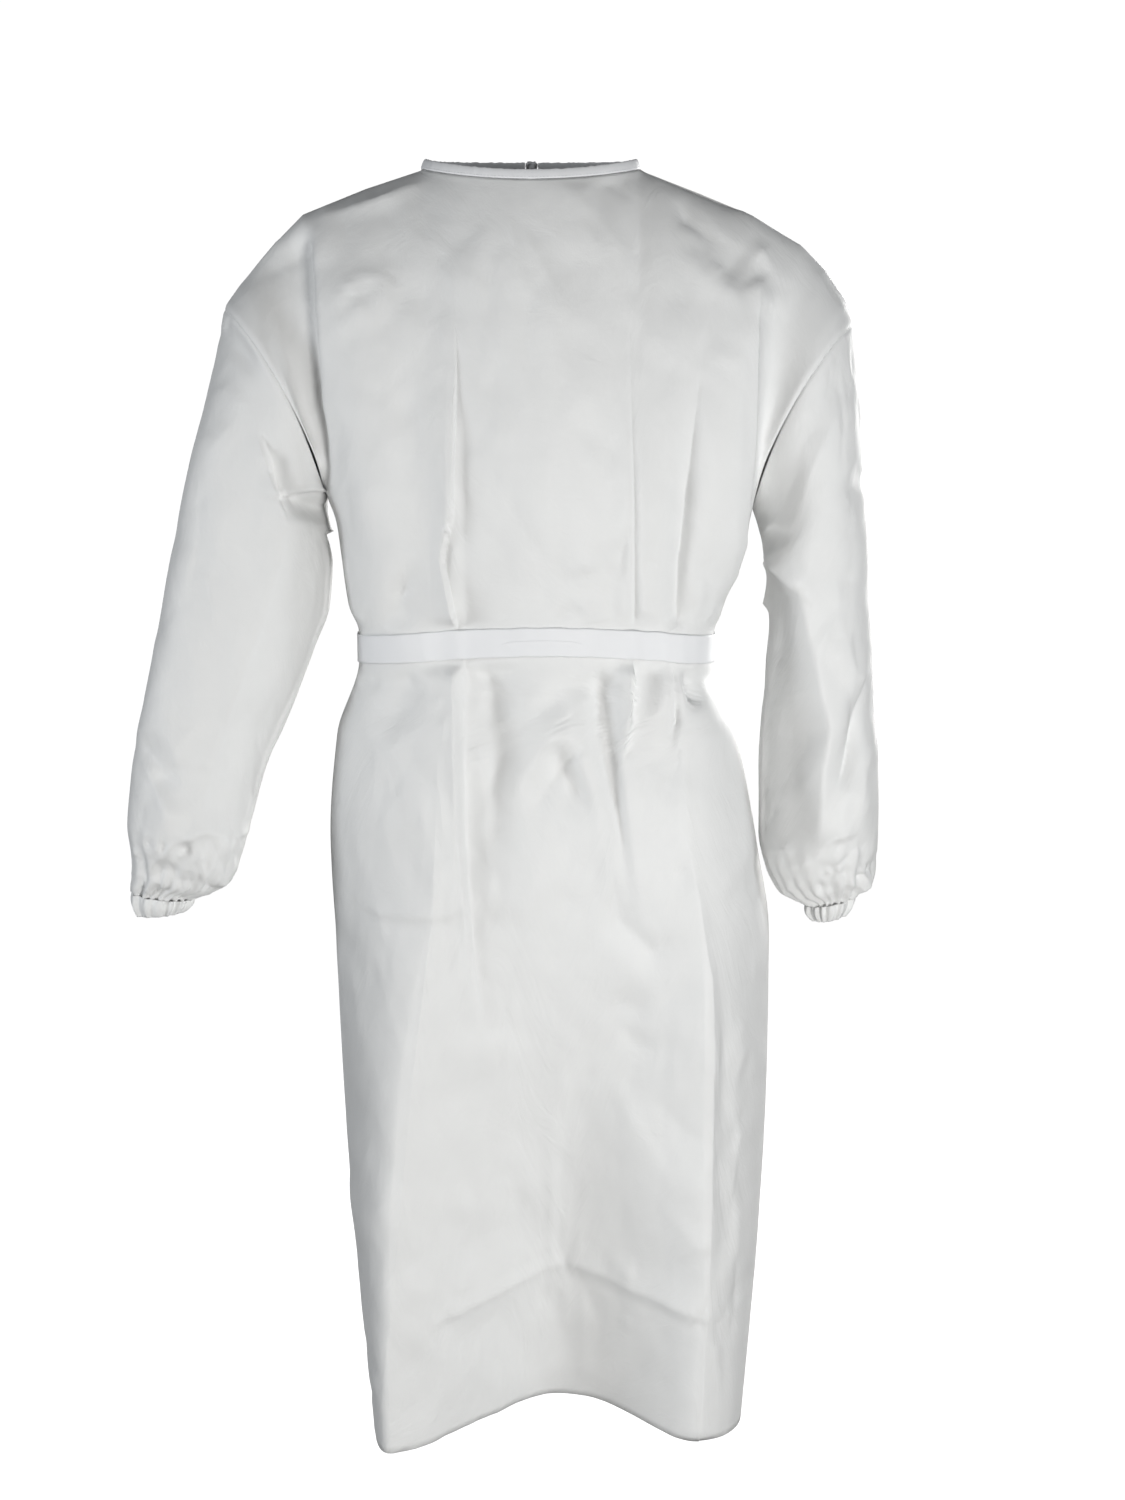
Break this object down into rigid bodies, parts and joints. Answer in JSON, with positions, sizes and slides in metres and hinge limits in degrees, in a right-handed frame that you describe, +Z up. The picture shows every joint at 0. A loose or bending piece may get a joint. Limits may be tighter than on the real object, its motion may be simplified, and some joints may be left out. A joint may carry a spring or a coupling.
{
  "type": "isolation gown",
  "caption": "Long-sleeved isolation gown in its worn shape, open at the back under a lap, with a flat waist belt, bound neck and gathered cuffs.",
  "frame": {"origin": "middle of the neck opening at the height of the high shoulder points, where the wearer's shoulders hold the gown", "axes": "+Z up, the front faces -Y, the wearer's left is at +X"},
  "size_m": [0.6633, 0.2825, 1.1256],
  "materials": {
    "coated_nonwoven": "soft paper-like sheen",
    "belt_nonwoven": "soft paper-like sheen"
  },
  "bodies": {
    "root": {"front_panel": "coated_nonwoven", "back_panel_left": "coated_nonwoven", "back_panel_right": "coated_nonwoven", "sleeve_left": "coated_nonwoven", "sleeve_right": "coated_nonwoven", "cuff_left": "coated_nonwoven", "cuff_right": "coated_nonwoven", "neck_binding": "belt_nonwoven", "waist_belt": "belt_nonwoven", "waist_knot": "belt_nonwoven", "waist_tie_left": "belt_nonwoven", "waist_tie_right": "belt_nonwoven", "neck_knot": "belt_nonwoven", "neck_tie_left": "belt_nonwoven", "neck_tie_right": "belt_nonwoven"}
  },
  "joints": []
}
